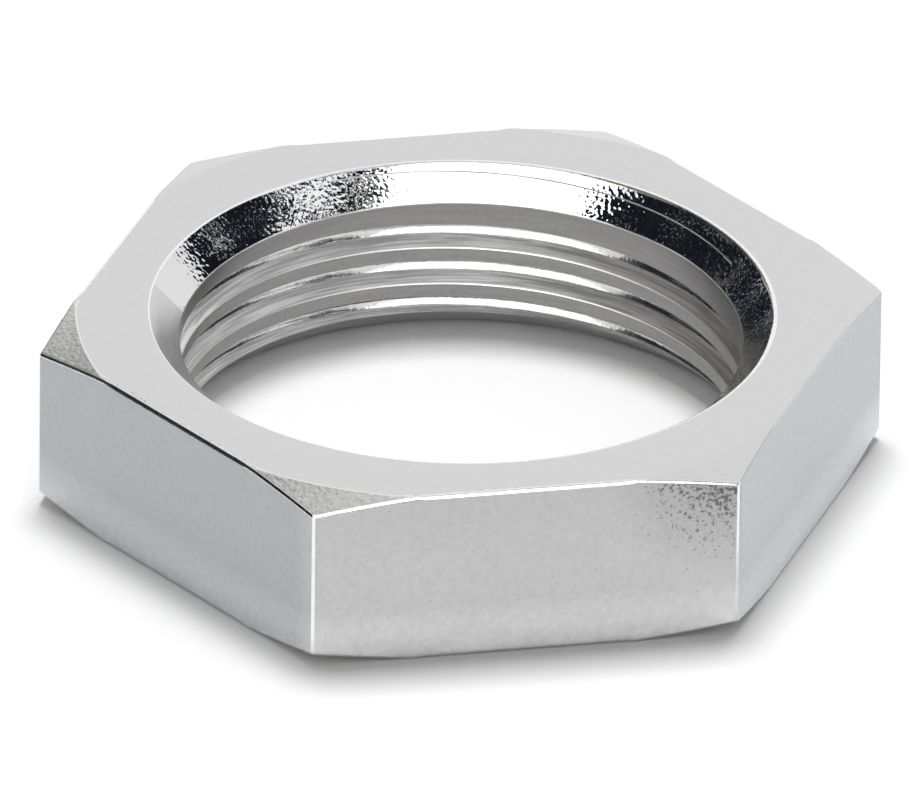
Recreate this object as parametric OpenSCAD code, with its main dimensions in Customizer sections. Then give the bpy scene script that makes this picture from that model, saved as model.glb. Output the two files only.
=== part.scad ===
// Flat panel nut: a hexagonal nut of plated brass that locks a fine-threaded fitting
// or gland against a panel. It is turned from hexagonal bar as one piece.
// Millimetres, +Z up. The origin is on the thread's axis, in the face that lies on the panel.
// Two of the hexagon's corners lie on the X axis.

/* [Thread] */
// Major diameter of the thread
thread_d = 22; // [8:0.5:40]
// Pitch of the thread
thread_pitch = 1.5; // [0.5:0.25:2]
// Diameter of each countersink's mouth beyond the major diameter
mouth_over = 0.75; // [0.2:0.05:1.2]
// Included angle of the countersinks, in degrees
countersink_angle = 90; // [75:5:120]

/* [Body] */
// Least width of the flat face, from a countersink's mouth to the middle of a flat
face_w = 2.125; // [1:0.125:6]
// Thickness of the nut, from face to face
nut_h = 6.65; // [4:0.05:12]
// Radius along the six upright edges
corner_r = 0.2; // [0.05:0.05:0.5]

/* [Corner chamfers] */
// Width of the chamfer on each corner, measured in towards the axis
chamfer_w = 1.5; // [0.5:0.1:2.5]
// Slope of the chamfer below the face, in degrees
chamfer_slope = 17; // [10:1:35]

/* [Hidden] */

// Segments of a full circle, and the overshoot of each cut
round_fn = 144;
cut = 0.5;

// Hole: the wall stands at the thread's crests, with the radial depth of a cut thread
thread_depth = thread_pitch / 2;
crest_r = thread_d / 2 - thread_depth;
mouth_r = (thread_d + mouth_over) / 2;
mouth_depth = (mouth_r - crest_r) / tan(countersink_angle / 2);

// Hexagon: spanner size, then the centres of the edge rounding and the radius over it
across_flats = 2 * (mouth_r + face_w);
edge_centre_r = (across_flats / 2 - corner_r) / cos(30);
outer_r = edge_centre_r + corner_r;

// Radius at which the corner chamfer leaves the face
face_r = outer_r - chamfer_w;

// The bar's outline: flat sides that run tangent into the rounded upright edges
module hex_outline() {
    polygon([for (i = [0:5], side = [-30, 30])
        edge_centre_r * [cos(60 * i), sin(60 * i)]
        + corner_r * [cos(60 * i + side), sin(60 * i + side)]]);
    for (i = [0:5])
        rotate(60 * i) translate([edge_centre_r, 0]) circle(r = corner_r, $fn = 32);
}

// The turned blank that trims the corners: flat faces and a shallow cone round each
module turned_envelope() {
    side_r = outer_r + cut;
    side_drop = (side_r - face_r) * tan(chamfer_slope);
    rotate_extrude($fn = round_fn)
        polygon([
            [0, 0], [face_r, 0], [side_r, side_drop],
            [side_r, nut_h - side_drop], [face_r, nut_h], [0, nut_h]
        ]);
}

// The hole up to the thread's crests
module crest_hole() {
    translate([0, 0, -cut]) cylinder(h = nut_h + 2 * cut, r = crest_r, $fn = round_fn);
}

// One countersink, opening upwards to its mouth at z = 0 and a little past it
module countersink() {
    past_r = mouth_r + cut * tan(countersink_angle / 2);
    translate([0, 0, -mouth_depth])
        cylinder(h = mouth_depth + cut, r1 = crest_r, r2 = past_r, $fn = round_fn);
}

module nut() {
    color([0.80, 0.80, 0.79])
        difference() {
            intersection() {
                linear_extrude(height = nut_h) hex_outline();
                turned_envelope();
            }
            crest_hole();
            translate([0, 0, nut_h]) countersink();
            mirror([0, 0, 1]) countersink();
        }
}

nut();
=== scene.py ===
"""Flat panel nut: one machined piece of nickel-plated brass, with its thread and finish.

Lengths are in millimetres and angles in degrees unless a name says otherwise; MM turns
millimetres into Blender's metres. The nut's outline comes from the frame's own box.
"""
import math

import bpy
import numpy as np
from mathutils import Matrix, Vector


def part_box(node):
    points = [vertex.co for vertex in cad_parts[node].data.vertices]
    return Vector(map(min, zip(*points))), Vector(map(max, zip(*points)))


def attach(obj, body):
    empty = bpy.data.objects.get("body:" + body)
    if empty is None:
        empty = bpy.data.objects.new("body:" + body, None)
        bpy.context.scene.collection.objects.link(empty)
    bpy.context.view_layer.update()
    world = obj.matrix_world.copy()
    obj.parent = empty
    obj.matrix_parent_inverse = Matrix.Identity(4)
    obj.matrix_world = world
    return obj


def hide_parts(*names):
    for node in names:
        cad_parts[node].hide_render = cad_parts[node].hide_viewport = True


MM = 0.001
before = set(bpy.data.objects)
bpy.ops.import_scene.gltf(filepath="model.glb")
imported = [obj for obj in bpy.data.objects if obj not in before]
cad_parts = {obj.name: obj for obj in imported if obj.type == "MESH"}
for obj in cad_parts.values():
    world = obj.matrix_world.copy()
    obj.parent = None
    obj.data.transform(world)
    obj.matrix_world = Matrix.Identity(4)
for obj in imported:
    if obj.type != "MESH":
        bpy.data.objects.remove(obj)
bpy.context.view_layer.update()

# Sizes
low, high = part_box("nut")
HEIGHT = (high.z - low.z) / MM
FLATS = (high.y - low.y) / MM  # across the flats
CORNER_REACH = (high.x - low.x) / MM / 2  # axis to the outside of a corner
CORNER_R = 0.2
CHAMFER_W = 1.5
CHAMFER_SLOPE = 17.0

CREST_R = 10.25
MOUTH_R = 11.375
THREAD_DEPTH = 0.74
PITCH = 1.5
GROOVE_Z = 4.16  # height of a groove's middle where it passes +Y
RUNOUT_FROM = 195.0  # angle at which the top turn starts to fade, and where it ends
RUNOUT_TO = 335.0
MARK_FROM = 17.0  # scored line in the upper countersink: where it starts and ends
MARK_TO = 104.0
MARK_DEEP = 0.022
MARK_WIDE = 0.028

EDGE_R = 0.18  # rounding of the outside edges
RIM_R = 0.30  # rounding of the countersinks' edges
INSET = 0.002  # keeps every surface just inside the solid's box
FOOT_R = 0.10  # rounding where a countersink meets the thread's crests
SHARP_FROM = 28.0  # degrees between two faces at which their edge stays sharp

# Stretches of the nut that differ, as angles from +X towards +Y
ROUGH_CORNERS = (150, 270)  # chamfers with the tool's rougher finish
DULL_EDGE = (300.3, 359.7)  # one side's upper edge, as dull as the face
HALF_POLISHED = (180, 300)  # sides whose edge loses its polish just above the flat
LIPPED = (180, 240)  # side with a fine bright lip above its edge
DULL_CONE = (160, 215)  # stretch of both countersinks

# Columns
# Even steps round the axis, and close ones over each rounded upright edge
COLUMN_STEP = 0.75
edge_centre = CORNER_REACH - CORNER_R
corner_half = math.degrees(math.atan2(CORNER_R / 2, edge_centre + CORNER_R * 0.87))
angles = set(np.round(np.arange(0, 360, COLUMN_STEP), 4))
for corner in range(0, 360, 60):
    angles -= {a for a in angles if abs((a - corner + 180) % 360 - 180) < COLUMN_STEP - 0.01}
    for step in np.linspace(-1, 1, 11):
        angles.add(round((corner + step * corner_half * 1.06) % 360, 4))
ANGLES = np.radians(sorted(angles))


def side_radius(angle):
    """Distance from the axis to the hexagon's side, rounded at its upright edges."""
    off = (math.degrees(angle) + 30) % 60 - 30  # from the nearest corner
    flat = (FLATS / 2 - INSET) / math.cos(math.radians(30 - abs(off)))
    t = math.radians(off)
    under = CORNER_R**2 - (edge_centre * math.sin(t)) ** 2
    if under <= 0:
        return flat
    round_ = edge_centre * math.cos(t) + math.sqrt(under) - INSET
    # the arc takes over between the two tangent points
    tangent = math.degrees(
        math.atan2(
            CORNER_R * math.sin(math.radians(30)),
            edge_centre + CORNER_R * math.cos(math.radians(30)),
        )
    )
    return round_ if abs(off) < tangent else flat


def fillet(corner, back, ahead, radius, steps):
    """Points of a rounding at corner, between the ways back and ahead from it (r, z)."""
    c, b, a = (np.array(v, float) for v in (corner, back, ahead))
    b /= np.linalg.norm(b)
    a /= np.linalg.norm(a)
    half = math.acos(np.clip(b @ a, -1, 1)) / 2
    reach = radius / math.tan(half)
    centre = c + (a + b) / np.linalg.norm(a + b) * radius / math.sin(half)
    first, last = c + b * reach - centre, c + a * reach - centre
    turn = math.pi - 2 * half
    points = []
    for i in range(steps + 1):
        f = i / steps
        w0 = math.sin((1 - f) * turn) / math.sin(turn)
        w1 = math.sin(f * turn) / math.sin(turn)
        points.append(centre + w0 * first + w1 * last)
    return points


# The turned and milled body
FACE, CHAMFER, EDGE, FLAT, CONE, CREST, FLANK, ROOT, LIP = range(9)
slope = math.tan(math.radians(CHAMFER_SLOPE))
face_r = CORNER_REACH - CHAMFER_W


def within(at, stretch):
    """Whether an angle lies between the two ends of a stretch."""
    return stretch[0] < at < stretch[1]


def top_height(r):
    """Height of the upper face, or of the chamfer outside it."""
    return HEIGHT - INSET - max(0.0, r - face_r) * slope


def rim_rounding(angle):
    """The countersink's edge is blunter on the right than on the left."""
    return RIM_R * (0.62 + 0.38 * math.cos(angle - math.radians(20)))


def half_profile(angle):
    """From the top face's rim out and down to half height: [(r, z)], with the material of
    the stretch that follows each point."""
    side = side_radius(angle)
    at = math.degrees(angle)
    # two corners show the tool's rougher finish, and one side's edge is as dull as the face
    corner = CHAMFER if within(at, ROUGH_CORNERS) else FACE
    rounding = FACE if within(at, DULL_EDGE) else EDGE
    points = []
    rim = fillet(
        (MOUTH_R, HEIGHT - INSET), (-1, -1), (1, 0), rim_rounding(angle), 4
    )  # from the cone to the face
    points += [(p, CONE if i < 0 else EDGE) for i, p in enumerate(rim[:-1])]
    points.append((rim[-1], FACE))
    edge_back = np.array((-1.0, 0.0))
    if side > face_r + 0.02:
        down = math.radians(CHAMFER_SLOPE)
        edge_back = np.array((-math.cos(down), math.sin(down)))
    edge_r = EDGE_R if rounding == EDGE else EDGE_R / 3
    edge = fillet((side, top_height(side)), edge_back, (0, -1), edge_r, 5)
    edge = [np.array((r, min(z, HEIGHT - INSET))) for r, z in edge]
    outer = edge[0][0]
    break_r = min(face_r, outer - 0.12)
    seam = LIP if corner == CHAMFER and side > face_r + 0.1 else FACE
    for r, kind in ((rim[-1][0] + 0.5 * (break_r - rim[-1][0]), FACE), (break_r - 0.05, seam)):
        points.append((np.array((r, top_height(r))), kind))
    for r in (break_r, break_r + min(0.04, (outer - break_r) / 4)):
        points.append((np.array((r, top_height(r))), corner))
    r = outer - min(0.06, (outer - break_r) / 2)
    points.append((np.array((r, top_height(r))), corner))
    arc = [rounding] * 5
    if within(at, HALF_POLISHED):
        arc[4] = FLAT
    if within(at, LIPPED):
        arc[0] = LIP
    points += list(zip(edge[:-1], arc))
    points.append((edge[-1], FLAT))
    for f in (0.03, 0.4, 0.7):
        z = edge[-1][1] + f * (HEIGHT / 2 - edge[-1][1])
        points.append((np.array((side, z)), FLAT))
    return points


def bore_profile(angle):
    """Up the hole from half height to the top rim."""
    cone = FACE if within(math.degrees(angle), DULL_CONE) else CONE
    foot_z = HEIGHT - (MOUTH_R - CREST_R)
    points = [(np.array((CREST_R, z)), CREST) for z in (HEIGHT / 2, HEIGHT * 0.7)]
    foot = fillet((CREST_R, foot_z), (0, -1), (1, 1), FOOT_R, 4)
    points += [(p, EDGE) for p in foot[:-1]]
    points.append((foot[-1], cone))
    rim_start = fillet((MOUTH_R, HEIGHT - INSET), (-1, -1), (1, 0), rim_rounding(angle), 4)[0]
    for f in (1 / 3, 2 / 3):
        points.append((foot[-1] + f * (rim_start - foot[-1]), cone))
    return points


def mirrored(points):
    """The lower half of a profile, in walking order, with each stretch's material."""
    flipped = []
    for i in range(len(points) - 1, -1, -1):
        p, _ = points[i]
        flipped.append((np.array((p[0], HEIGHT - p[1])), points[i - 1][1]))
    return flipped


def body_mesh():
    """The nut without its thread: one closed profile for each angle, joined into a ring."""
    rows = []
    for angle in ANGLES:
        up = half_profile(angle)
        bore = bore_profile(angle)
        outside = up + [(np.array((up[-1][0][0], HEIGHT / 2)), FLAT)] + mirrored(up)
        # the last stretch of the lower rim leads into the lower cone
        outside[-1] = (outside[-1][0], CONE)
        rows.append(outside + mirrored(bore)[:-1] + bore)
    verts, faces, kinds = [], [], []
    n, m = len(ANGLES), len(rows[0])
    for angle, ring in zip(ANGLES, rows):
        for (r, z), _ in ring:
            verts.append((r * math.cos(angle) * MM, r * math.sin(angle) * MM, z * MM))
    for i in range(n):
        j = (i + 1) % n
        for k in range(m):
            q = (k + 1) % m
            faces.append((i * m + k, i * m + q, j * m + q, j * m + k))
            kind = rows[i][k][1]
            step = math.degrees((ANGLES[j] - ANGLES[i]) % math.tau)
            off = (math.degrees(ANGLES[i]) + step / 2 + 30) % 60 - 30
            worn = step < 0.3 and abs(off) < 0.6 * corner_half
            kinds.append(EDGE if kind == FLAT and worn else kind)
    mesh = bpy.data.meshes.new("nut_body")
    mesh.from_pydata(verts, [], faces)
    mesh.polygons.foreach_set("material_index", kinds)
    return mesh


# The thread's cutter
def worm_mesh(name, from_turn, to_turn, height_at, section, cap_kind):
    """A closed bar swept round the axis. section(turn) gives [(r, z offset, material)]."""
    start = math.floor(from_turn / 360 * len(ANGLES))
    stop = math.ceil(to_turn / 360 * len(ANGLES))
    verts, faces, kinds = [], [], []
    for i in range(start, stop + 1):
        turn = math.degrees(ANGLES[i % len(ANGLES)]) + 360 * (i // len(ANGLES))
        ring = section(turn)
        m = len(ring)
        a = math.radians(turn)
        for r, dz, _ in ring:
            z = height_at(turn) + dz
            verts.append((r * math.cos(a) * MM, r * math.sin(a) * MM, z * MM))
    count = stop - start + 1
    for i in range(count - 1):
        for k in range(m):
            q = (k + 1) % m
            faces.append((i * m + k, (i + 1) * m + k, (i + 1) * m + q, i * m + q))
            kinds.append(ring[k][2])
    faces.append(tuple(range(m)))
    faces.append(tuple((count - 1) * m + k for k in range(m - 1, -1, -1)))
    kinds += [cap_kind, cap_kind]
    mesh = bpy.data.meshes.new(name)
    mesh.from_pydata(verts, [], faces)
    mesh.polygons.foreach_set("material_index", kinds)
    return mesh


def helix_height(turn):
    """Height of the groove's middle after so many degrees of turn."""
    return GROOVE_Z + (turn - 90) / 360 * PITCH


# The groove's section, from its lower lip up to its upper lip: distance
# beyond the crests, height from the groove's middle, and what the stretch after it is.
# The root is rounded more below than above, as the worn tool leaves it.
GROOVE = [
    (-0.40, -0.935, LIP),
    (0.035, -0.478, FLANK),
    (0.075, -0.460, FLANK),
    (0.42, -0.312, FLANK),
    (0.48, -0.280, ROOT),
    (0.56, -0.230, ROOT),
    (0.62, -0.155, ROOT),
    (0.685, -0.045, ROOT),
    (0.725, 0.050, ROOT),
    (0.735, 0.090, ROOT),
    (0.72, 0.125, FLANK),
    (0.69, 0.150, FLANK),
    (0.02, 0.475, FLANK),
    (-0.40, 0.90, FLANK),
]


def groove_section(turn):
    """The groove's section; where it runs out it draws back into the open hole."""
    fade = min(1.0, max(0.0, (turn - RUNOUT_FROM) / (RUNOUT_TO - RUNOUT_FROM)))
    lift = (THREAD_DEPTH + 0.06) * fade * fade * (3 - 2 * fade)
    return [(CREST_R + out - lift, height, kind) for out, height, kind in GROOVE]


def cut(piece, mesh):
    """Takes the closed mesh out of the piece."""
    tool = bpy.data.objects.new(mesh.name, mesh)
    bpy.context.scene.collection.objects.link(tool)
    modifier = piece.modifiers.new("cut", "BOOLEAN")
    modifier.operation = "DIFFERENCE"
    modifier.solver = "MANIFOLD"
    modifier.object = tool
    bpy.context.view_layer.update()
    done = bpy.data.meshes.new_from_object(
        piece.evaluated_get(bpy.context.evaluated_depsgraph_get())
    )
    piece.modifiers.clear()
    piece.data = done
    bpy.data.objects.remove(tool)


def mark_section(turn):
    """A fine scored line in the upper countersink, which climbs it as the turn goes on."""
    r = CREST_R + 0.65 + 0.003 * (turn - MARK_FROM)
    z = HEIGHT - (MOUTH_R - r)
    deep = MARK_DEEP * (1.6 if turn < MARK_FROM + 1.5 else 1.0)
    wide = MARK_WIDE * (1.6 if turn < MARK_FROM + 1.5 else 1.0)
    half = math.sqrt(0.5)
    out, along = np.array((half, -half)), np.array((half, half))
    on = np.array((r, z))
    corners = (
        on - along * wide * 1.5 - out * deep * 0.5,
        on + out * deep,
        on + along * wide * 1.5 - out * deep * 0.5,
    )
    return [(c[0], c[1], FLANK) for c in corners]


# Materials
def node(tree, kind, **settings):
    """A new node, with its properties or its sockets set by name."""
    made = tree.nodes.new(kind)
    for key, value in settings.items():
        if hasattr(made, key):
            setattr(made, key, value)
        else:
            made.inputs[key.replace("_", " ")].default_value = value
    return made


def noise(tree, place, scale, detail=0.0):
    """Noise over the object, with so many spots to a metre."""
    made = node(tree, "ShaderNodeTexNoise", Scale=scale, Detail=detail)
    tree.links.new(place.outputs["Object"], made.inputs["Vector"])
    return made.outputs["Fac"]


def ramp(tree, value, low_in, high_in, low_out=0.0, high_out=1.0):
    """value carried from one range to another, and held at its ends."""
    made = node(tree, "ShaderNodeMapRange")
    for name, number in (
        ("From Min", low_in),
        ("From Max", high_in),
        ("To Min", low_out),
        ("To Max", high_out),
    ):
        made.inputs[name].default_value = number
    tree.links.new(value, made.inputs["Value"])
    return made.outputs["Result"]


def blend_colour(tree, factor, a, b):
    """a and b are colours, or an output to take the colour from."""
    made = node(tree, "ShaderNodeMix", data_type="RGBA")
    tree.links.new(factor, made.inputs["Factor"])
    for socket, colour in (("A", a), ("B", b)):
        if isinstance(colour, tuple):
            made.inputs[socket].default_value = (*colour, 1)
        else:
            tree.links.new(colour, made.inputs[socket])
    return made.outputs["Result"]


def multiply(tree, factor, shade, by):
    """shade with its colour multiplied by the colour by, as far as factor says."""
    made = node(tree, "ShaderNodeMix", data_type="RGBA", blend_type="MULTIPLY")
    tree.links.new(factor, made.inputs["Factor"])
    tree.links.new(shade, made.inputs["A"])
    made.inputs["B"].default_value = (*by, 1)
    return made.outputs["Result"]


def coordinate(tree, place, axis):
    """Distance along one axis of the object."""
    parts = node(tree, "ShaderNodeSeparateXYZ")
    tree.links.new(place.outputs["Object"], parts.inputs["Vector"])
    return parts.outputs[axis]


SPECKS_AT = (7.4, -13.5, 6.9)  # where the dark specks on the front side gather
SPECK_SIZE = 0.12


def flat_painted_shade_and_specks(tree, place, shade):
    """The sides' painted shade and light: darker above their foot, more so high on the front,
    which is otherwise painted lighter, darker and bluer on the left; and dark specks by one corner."""
    # painted shade: the sides darker above their foot, so the foot is painted lighter
    above = ramp(tree, coordinate(tree, place, "Z"), 0.1 * MM, 2.2 * MM)
    shade = multiply(tree, above, shade, (0.70, 0.70, 0.70))
    # painted shade: the left side darker and bluer
    left = ramp(tree, coordinate(tree, place, "X"), -8.3 * MM, -7.6 * MM, 1.0, 0.0)
    shade = multiply(tree, left, shade, (0.83, 0.845, 0.85))
    away = node(tree, "ShaderNodeVectorMath", operation="DISTANCE")
    tree.links.new(place.outputs["Object"], away.inputs[0])
    away.inputs[1].default_value = tuple(length * MM for length in SPECKS_AT)
    # painted light: the front side a little lighter, with painted shade on its upper part below
    front = ramp(tree, coordinate(tree, place, "Y"), -13.46 * MM, -13.2 * MM, 1.0, 0.0)
    shade = multiply(tree, front, shade, (1.05, 1.03, 1.01))
    # painted shade on the front side's upper part
    upper = node(tree, "ShaderNodeMath", operation="MULTIPLY")
    tree.links.new(ramp(tree, coordinate(tree, place, "Z"), 1.0 * MM, 6.0 * MM), upper.inputs[0])
    tree.links.new(front, upper.inputs[1])
    shade = multiply(tree, upper.outputs["Value"], shade, (0.90, 0.90, 0.90))
    near = node(tree, "ShaderNodeMath", operation="MULTIPLY")
    tree.links.new(ramp(tree, away.outputs["Value"], 0.2 * MM, 4.6 * MM, 1.0, 0.0), near.inputs[0])
    tree.links.new(front, near.inputs[1])
    grains = node(tree, "ShaderNodeMath", operation="MULTIPLY_ADD")
    grains.inputs[1].default_value = 0.36
    tree.links.new(near.outputs["Value"], grains.inputs[0])
    tree.links.new(noise(tree, place, 1 / (SPECK_SIZE * MM), 1.0), grains.inputs[2])
    dark = ramp(tree, grains.outputs["Value"], 0.73, 0.90)
    shade = multiply(tree, dark, shade, (0.34, 0.34, 0.35))
    return multiply(tree, near.outputs["Value"], shade, (0.74, 0.74, 0.75))


def edge_darker_below(tree, place, shade):
    """One upright edge is darker in its lower half."""
    corner = ramp(tree, coordinate(tree, place, "X"), 7.0 * MM, 7.2 * MM)
    lower = ramp(tree, coordinate(tree, place, "Z"), 2.4 * MM, 4.2 * MM, 1.0, 0.0)
    both = node(tree, "ShaderNodeMath", operation="MULTIPLY")
    tree.links.new(corner, both.inputs[0])
    tree.links.new(lower, both.inputs[1])
    return multiply(tree, both.outputs["Value"], shade, (0.74, 0.74, 0.75))


def thread_painted_shade(tree, place, shade):
    """Painted shade on the thread's flanks: lighter on the left, darker and browner on the right."""
    # painted shade: the flanks darker except on the left
    right = ramp(tree, coordinate(tree, place, "X"), -7.5 * MM, -3.0 * MM)
    shade = multiply(tree, right, shade, (0.80, 0.80, 0.80))
    # painted shade: the flanks darker and browner still on the right
    far_right = ramp(tree, coordinate(tree, place, "X"), 2.5 * MM, 6.5 * MM)
    return multiply(tree, far_right, shade, (0.68, 0.67, 0.64))


def turning_marks(tree, place, step):
    """Fine rings round the axis, step millimetres apart across any turned surface."""
    parts = node(tree, "ShaderNodeSeparateXYZ")
    tree.links.new(place.outputs["Object"], parts.inputs["Vector"])
    flat = node(tree, "ShaderNodeCombineXYZ")
    tree.links.new(parts.outputs["X"], flat.inputs["X"])
    tree.links.new(parts.outputs["Y"], flat.inputs["Y"])
    radius = node(tree, "ShaderNodeVectorMath", operation="LENGTH")
    tree.links.new(flat.outputs["Vector"], radius.inputs[0])
    way = node(tree, "ShaderNodeVectorMath", operation="NORMALIZE")
    tree.links.new(flat.outputs["Vector"], way.inputs[0])
    round_ = node(tree, "ShaderNodeVectorMath", operation="SCALE")
    round_.inputs["Scale"].default_value = 4.0
    tree.links.new(way.outputs["Vector"], round_.inputs[0])
    across = node(tree, "ShaderNodeMath", operation="ADD")
    tree.links.new(radius.outputs["Value"], across.inputs[0])
    tree.links.new(parts.outputs["Z"], across.inputs[1])
    finer = node(tree, "ShaderNodeMath", operation="MULTIPLY")
    finer.inputs[1].default_value = 1 / (step * MM)
    tree.links.new(across.outputs["Value"], finer.inputs[0])
    lift = node(tree, "ShaderNodeCombineXYZ")
    tree.links.new(finer.outputs["Value"], lift.inputs["Z"])
    at = node(tree, "ShaderNodeVectorMath", operation="ADD")
    tree.links.new(round_.outputs["Vector"], at.inputs[0])
    tree.links.new(lift.outputs["Vector"], at.inputs[1])
    lines = node(tree, "ShaderNodeTexNoise", Scale=1.0, Detail=2.0)
    tree.links.new(at.outputs["Vector"], lines.inputs["Vector"])
    return lines.outputs["Fac"]


def plated(
    name, colour, roughness, grain=0.20, tint=0.05, dent=0.15, dent_depth=0.0, specks=0.0,
    lines=0.0, line_depth=0.0, line_tint=0.0, recolour=None,
):
    """Metal plating. grain and dent are the sizes, in millimetres, of the spots that vary
    its colour and gloss and of the dents in it; specks is the share of small dark pits, and
    lines the distance between turning marks. The last argument changes the colour further; on
    the sides and on the thread's flanks that is painted shade and light."""
    material = bpy.data.materials.new(name)
    material.use_nodes = True
    tree = material.node_tree
    shader = tree.nodes["Principled BSDF"]
    shader.inputs["Metallic"].default_value = 1.0
    place = node(tree, "ShaderNodeTexCoord")
    fine = noise(tree, place, 1 / (grain * MM), 3.0)
    darker = tuple(c * (1 - tint) for c in colour)
    lighter = tuple(min(1, c * (1 + tint)) for c in colour)
    shade = blend_colour(tree, ramp(tree, fine, 0.3, 0.7), darker, lighter)
    height = noise(tree, place, 1 / (dent * MM), 0.5)
    if specks:
        pits = ramp(tree, noise(tree, place, 1 / (0.16 * MM), 1.0), 0.80 - specks, 0.84 - specks)
        shade = blend_colour(tree, pits, shade, tuple(c * 0.6 for c in colour))
    if lines:
        rings_at = turning_marks(tree, place, lines)
        dark = ramp(tree, rings_at, 0.42, 0.58, 1.0, 0.0)
        shade = multiply(tree, dark, shade, (1 - line_tint,) * 3)
    if recolour:
        shade = recolour(tree, place, shade)
    tree.links.new(shade, shader.inputs["Base Color"])
    gloss = ramp(tree, fine, 0.0, 1.0, roughness * 0.8, roughness * 1.2)
    tree.links.new(gloss, shader.inputs["Roughness"])
    if dent_depth:
        relief = node(tree, "ShaderNodeBump", Strength=1.0, Distance=dent_depth * MM)
        tree.links.new(height, relief.inputs["Height"])
        tree.links.new(relief.outputs["Normal"], shader.inputs["Normal"])
    if lines:
        rings = node(tree, "ShaderNodeBump", Strength=1.0, Distance=line_depth * MM)
        tree.links.new(rings_at, rings.inputs["Height"])
        if dent_depth:
            tree.links.new(relief.outputs["Normal"], rings.inputs["Normal"])
        tree.links.new(rings.outputs["Normal"], shader.inputs["Normal"])
    return material


# the order is that of FACE, CHAMFER, EDGE, FLAT, CONE, CREST, FLANK, ROOT, LIP
MATERIALS = [
    plated("nickel_face", (0.665, 0.665, 0.67), 0.30, tint=0.02, dent_depth=0.001, specks=0.01),
    plated("nickel_chamfer", (0.68, 0.68, 0.66), 0.30, tint=0.12, dent_depth=0.011, specks=0.10),
    plated("nickel_edge", (0.88, 0.88, 0.88), 0.12, dent=0.3, dent_depth=0.008, recolour=edge_darker_below),
    # the sides carry painted shade and light, and dark specks by one corner
    plated(
        "nickel_flat", (0.78, 0.793, 0.808), 0.50, tint=0.06, dent=0.10, dent_depth=0.006,
        recolour=flat_painted_shade_and_specks,
    ),
    plated("nickel_cone", (0.72, 0.72, 0.73), 0.03, tint=0.02, dent=0.16, dent_depth=0.012),
    plated(
        "nickel_crest", (0.288, 0.285, 0.275), 0.30, tint=0.05, dent_depth=0.003,
        lines=0.16, line_depth=0.001, line_tint=0.08,
    ),
    # the thread's flanks carry painted shade, darker and browner to the right
    plated(
        "nickel_flank", (0.98, 0.98, 0.98), 0.50, tint=0.02, dent_depth=0.002,
        lines=0.13, line_depth=0.010, line_tint=0.34, recolour=thread_painted_shade,
    ),
    plated(
        "nickel_root", (0.70, 0.70, 0.70), 0.14, tint=0.04, dent_depth=0.004,
        lines=0.15, line_depth=0.003, line_tint=0.10,
    ),
    plated("nickel_lip", (0.90, 0.90, 0.90), 0.45, dent_depth=0.002),
]

# The nut
piece = bpy.data.objects.new("nut_detailed", body_mesh())
bpy.context.scene.collection.objects.link(piece)
for material in MATERIALS:
    piece.data.materials.append(material)
turns_below = 4
groove = worm_mesh("groove", -360 * turns_below + 90, RUNOUT_TO, helix_height, groove_section, ROOT)
for material in MATERIALS:
    groove.materials.append(material)
cut(piece, groove)
mark = worm_mesh("mark", MARK_FROM, MARK_TO, lambda turn: 0.0, mark_section, FLANK)
for material in MATERIALS:
    mark.materials.append(material)
cut(piece, mark)
piece.data.name = "nut_detailed"
piece.data.shade_smooth()
piece.data.set_sharp_from_angle(angle=math.radians(SHARP_FROM))
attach(piece, "root")
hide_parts("nut")

# Floor, light and camera
def flat_material(name, colour):
    """A plain matt surface."""
    material = bpy.data.materials.new(name)
    material.use_nodes = True
    shader = material.node_tree.nodes["Principled BSDF"]
    shader.inputs["Base Color"].default_value = (*colour, 1)
    shader.inputs["Roughness"].default_value = 0.9
    shader.inputs["Specular IOR Level"].default_value = 0.0
    return material


def plane(name, size, material):
    """A square, facing up, with its middle at the origin."""
    mesh = bpy.data.meshes.new(name)
    h = size * MM / 2
    mesh.from_pydata([(-h, -h, 0), (h, -h, 0), (h, h, 0), (-h, h, 0)], [], [(0, 1, 2, 3)])
    mesh.materials.append(material)
    made = bpy.data.objects.new(name, mesh)
    bpy.context.scene.collection.objects.link(made)
    return made


floor = plane("floor", 1600, flat_material("floor_white", (0.90, 0.90, 0.90)))
floor.location.z = -0.00002


def direction(azimuth, elevation):
    """Unit vector; azimuth is counted from +X towards +Y."""
    a, e = math.radians(azimuth), math.radians(elevation)
    return Vector((math.cos(a) * math.cos(e), math.sin(a) * math.cos(e), math.sin(e)))


CARD_REACH = 260  # from the origin to the dark cards


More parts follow.
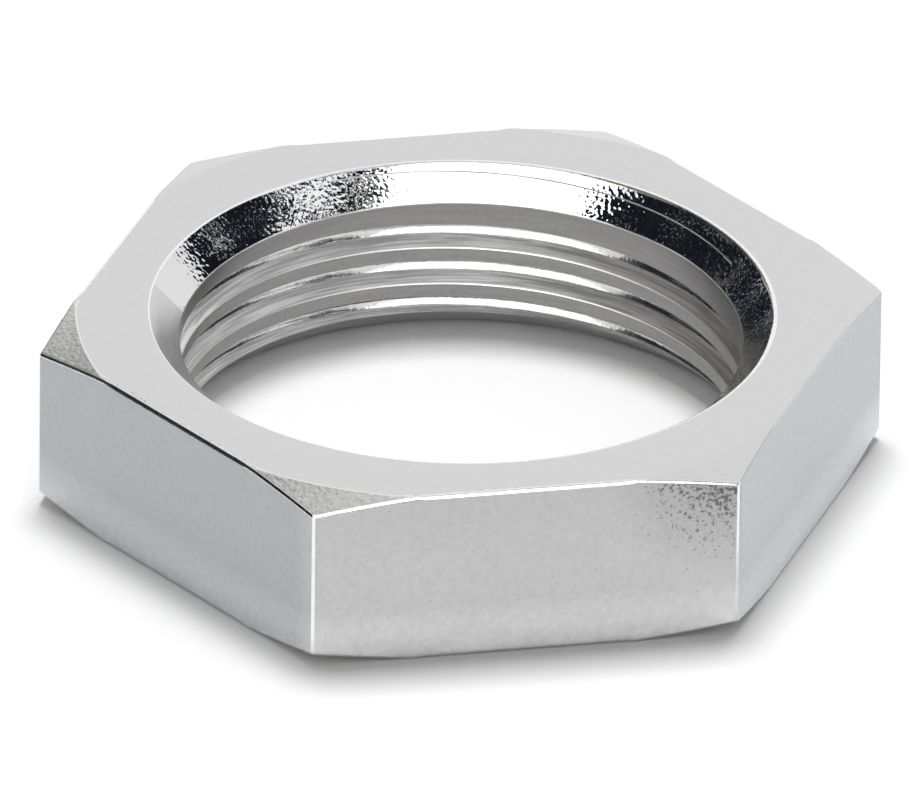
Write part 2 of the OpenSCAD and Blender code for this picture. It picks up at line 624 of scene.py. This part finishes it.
def dark_card(name, azimuths, elevations, colour, flecks=0.0, glow=1.2):
    """A curved dark panel round the nut, seen in its reflections alone. flecks is the share
    of it that small bright openings take, and glow their strength."""
    reach = CARD_REACH * MM
    cols, rows = 24, 12
    verts = [
        direction(
            azimuths[0] + (azimuths[1] - azimuths[0]) * i / cols,
            elevations[0] + (elevations[1] - elevations[0]) * k / rows,
        )
        * reach
        for k in range(rows + 1)
        for i in range(cols + 1)
    ]
    w = cols + 1
    faces = [
        (k * w + i, k * w + i + 1, (k + 1) * w + i + 1, (k + 1) * w + i)
        for k in range(rows)
        for i in range(cols)
    ]
    mesh = bpy.data.meshes.new(name)
    mesh.from_pydata(verts, [], faces)
    material = bpy.data.materials.new(name)
    material.use_nodes = True
    shader = material.node_tree.nodes["Principled BSDF"]
    shader.inputs["Base Color"].default_value = (*colour, 1)
    shader.inputs["Roughness"].default_value = 1.0
    shader.inputs["Specular IOR Level"].default_value = 0.0
    if flecks:
        tree = material.node_tree
        place = node(tree, "ShaderNodeTexCoord")
        cells = node(tree, "ShaderNodeTexNoise", Scale=45.0, Detail=1.0)
        tree.links.new(place.outputs["Object"], cells.inputs["Vector"])
        open_ = node(tree, "ShaderNodeMapRange")
        middle = 0.5 + (0.5 - flecks) * 0.3
        open_.inputs["From Min"].default_value = middle - 0.02
        open_.inputs["From Max"].default_value = middle + 0.02
        open_.inputs["To Max"].default_value = glow
        tree.links.new(cells.outputs["Fac"], open_.inputs["Value"])
        shader.inputs["Emission Color"].default_value = (1, 1, 1, 1)
        tree.links.new(open_.outputs["Result"], shader.inputs["Emission Strength"])
    mesh.materials.append(material)
    card = bpy.data.objects.new(name, mesh)
    bpy.context.scene.collection.objects.link(card)
    card.visible_camera = card.visible_diffuse = card.visible_shadow = False
    card.visible_transmission = card.visible_volume_scatter = False


BLACK = (0.012, 0.015, 0.022)
dark_card("card_left", (136, 196), (2, 53), BLACK, flecks=0.04, glow=0.20)
dark_card("card_left_mid", (118, 136), (18, 53), BLACK, flecks=0.04, glow=0.22)
dark_card("card_left_low", (101, 136), (2, 18), BLACK, flecks=0.12, glow=0.30)
dark_card("card_left_back", (104, 118), (20, 66), (0.25, 0.235, 0.20))
dark_card("card_left_high", (118, 168), (53, 70), (0.25, 0.235, 0.20))
dark_card("card_right", (-10, 26), (14, 54), BLACK, flecks=0.05, glow=0.7)
dark_card("card_right_mid", (-32, -10), (16, 68), BLACK, flecks=0.55)
dark_card("card_right_near", (-55, -32), (16, 78), BLACK, flecks=0.30)
dark_card("card_front", (262, 298), (1, 12), BLACK)


def area_light(name, azimuth, elevation, distance, size, power):
    """A square lamp that faces the nut."""
    lamp = bpy.data.lights.new(name, "AREA")
    lamp.shape = "SQUARE"
    lamp.size = size * MM
    lamp.energy = power
    made = bpy.data.objects.new(name, lamp)
    back = direction(azimuth, elevation)
    made.location = back * distance * MM
    made.rotation_euler = back.to_track_quat("Z", "Y").to_euler()
    bpy.context.scene.collection.objects.link(made)
    return made


def bright_card(name, azimuth, elevation, distance, size, strength):
    """A large white panel that only the metal shows; it throws nothing on to the floor."""
    material = bpy.data.materials.new(name)
    material.use_nodes = True
    tree = material.node_tree
    tree.nodes.remove(tree.nodes["Principled BSDF"])
    glow = node(tree, "ShaderNodeEmission")
    rays = node(tree, "ShaderNodeLightPath")
    level = node(tree, "ShaderNodeMapRange")
    level.inputs["To Min"].default_value = strength
    level.inputs["To Max"].default_value = 0.0
    tree.links.new(rays.outputs["Diffuse Depth"], level.inputs["Value"])
    tree.links.new(level.outputs["Result"], glow.inputs["Strength"])
    tree.links.new(glow.outputs["Emission"], tree.nodes["Material Output"].inputs["Surface"])
    card = plane(name, size, material)
    back = direction(azimuth, elevation)
    card.location = back * distance * MM
    card.rotation_euler = back.to_track_quat("Z", "Y").to_euler()
    card.visible_camera = card.visible_diffuse = card.visible_shadow = False
    card.visible_transmission = card.visible_volume_scatter = False


# The panel that the bright metal shows, and the lamp behind that casts the soft shadow
bright_card("softbox", 250, 49, 600, 900, 2.2)
lamp = area_light("lamp_behind", 83, 79, 600, 210, 2.85)
lamp.visible_glossy = False

AMBIENT = 0.45  # what the world gives matt surfaces
OVERHEAD = 0.62  # what metal sees straight above, against 1 at the horizon
world = bpy.data.worlds.new("studio")
bpy.context.scene.world = world
world.use_nodes = True
tree = world.node_tree
background = tree.nodes["Background"]
# White to the camera; metal sees it white at the horizon and greyer overhead
rays = node(tree, "ShaderNodeLightPath")
way = node(tree, "ShaderNodeTexCoord")
parts = node(tree, "ShaderNodeSeparateXYZ")
tree.links.new(way.outputs["Generated"], parts.inputs["Vector"])
overhead = node(tree, "ShaderNodeMapRange", interpolation_type="SMOOTHSTEP")
overhead.inputs["From Min"].default_value = 0.84
overhead.inputs["From Max"].default_value = 0.97
overhead.inputs["To Min"].default_value = 1.0
overhead.inputs["To Max"].default_value = OVERHEAD
tree.links.new(parts.outputs["Z"], overhead.inputs["Value"])
seen_in_metal = node(tree, "ShaderNodeMix", data_type="FLOAT")
seen_in_metal.inputs["A"].default_value = AMBIENT
mirrored_ray = node(tree, "ShaderNodeMath", operation="MAXIMUM")
tree.links.new(rays.outputs["Is Glossy Ray"], mirrored_ray.inputs[0])
tree.links.new(rays.outputs["Is Transmission Ray"], mirrored_ray.inputs[1])
# light that the metal throws on to matt surfaces is only the ambient light
thrown = node(tree, "ShaderNodeMath", operation="SUBTRACT", use_clamp=True)
tree.links.new(mirrored_ray.outputs["Value"], thrown.inputs[0])
tree.links.new(rays.outputs["Diffuse Depth"], thrown.inputs[1])
tree.links.new(thrown.outputs["Value"], seen_in_metal.inputs["Factor"])
tree.links.new(overhead.outputs["Result"], seen_in_metal.inputs["B"])
seen = node(tree, "ShaderNodeMix", data_type="FLOAT")
seen.inputs["B"].default_value = 1.0
tree.links.new(rays.outputs["Is Camera Ray"], seen.inputs["Factor"])
tree.links.new(seen_in_metal.outputs["Result"], seen.inputs["A"])
tree.links.new(seen.outputs["Result"], background.inputs["Strength"])
background.inputs["Color"].default_value = (1, 1, 1, 1)

# A long lens from in front and above, turned a little to the left and rolled under a degree
VIEW_TURN, VIEW_DOWN, VIEW_ROLL = 10.35, 29.04, 0.69
VIEW_FROM = 1118.5
VIEW_AT = (0.20, 1.20, 2.26)
camera = bpy.data.objects.new("camera", bpy.data.cameras.new("camera"))
bpy.context.scene.collection.objects.link(camera)
camera.data.lens = 1200
camera.data.sensor_width = 36
camera.data.clip_start = 0.01
camera.data.clip_end = 100
turned = (
    Matrix.Rotation(math.radians(-VIEW_TURN), 4, "Z")
    @ Matrix.Rotation(math.radians(90 - VIEW_DOWN), 4, "X")
    @ Matrix.Rotation(math.radians(VIEW_ROLL), 4, "Z")
)
camera.matrix_world = (
    Matrix.Translation(Vector(VIEW_AT) * MM)
    @ turned
    @ Matrix.Translation((0, 0, VIEW_FROM * MM))
)
bpy.context.scene.camera = camera
bpy.context.scene.view_settings.view_transform = "Standard"

print("faces", len(piece.data.polygons), "triangles", sum(len(p.vertices) - 2 for p in piece.data.polygons))
